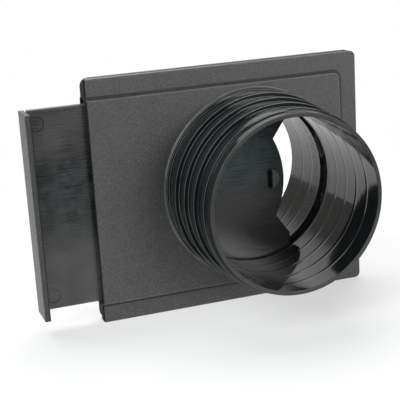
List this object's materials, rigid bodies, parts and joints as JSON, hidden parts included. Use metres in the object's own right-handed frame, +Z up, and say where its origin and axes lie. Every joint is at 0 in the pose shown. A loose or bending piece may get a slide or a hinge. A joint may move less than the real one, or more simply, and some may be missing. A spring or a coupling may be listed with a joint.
{
  "type": "blast gate",
  "caption": "Black moulded dust-duct blast gate: flat split housing with ridged hose spigots front and rear, and a sliding plate gate with a bar handle, standing part open.",
  "frame": {"origin": "on the housing's lower edge, in the middle of the front half's thickness and straight below the duct axis", "axes": "+Z up; Y along the duct, with the long front spigot pointing to -Y; X along the gate's slide, with the handle at -X and the closed end of the housing at +X"},
  "size_m": [0.1956, 0.1119, 0.138],
  "materials": {
    "housing_plastic": "fine spark-eroded grain on the plates, gloss on the spigots",
    "gate_plastic": "satin with faint flow streaks"
  },
  "bodies": {
    "housing": {"front_housing": "housing_plastic", "rear_housing": "housing_plastic"},
    "gate": {"slide_gate": "gate_plastic"}
  },
  "joints": [
    {"name": "gate_slide", "type": "slide", "parent": "housing", "child": "gate", "axis": [-1, 0, 0], "range_m": [-0.029, 0.068]}
  ]
}
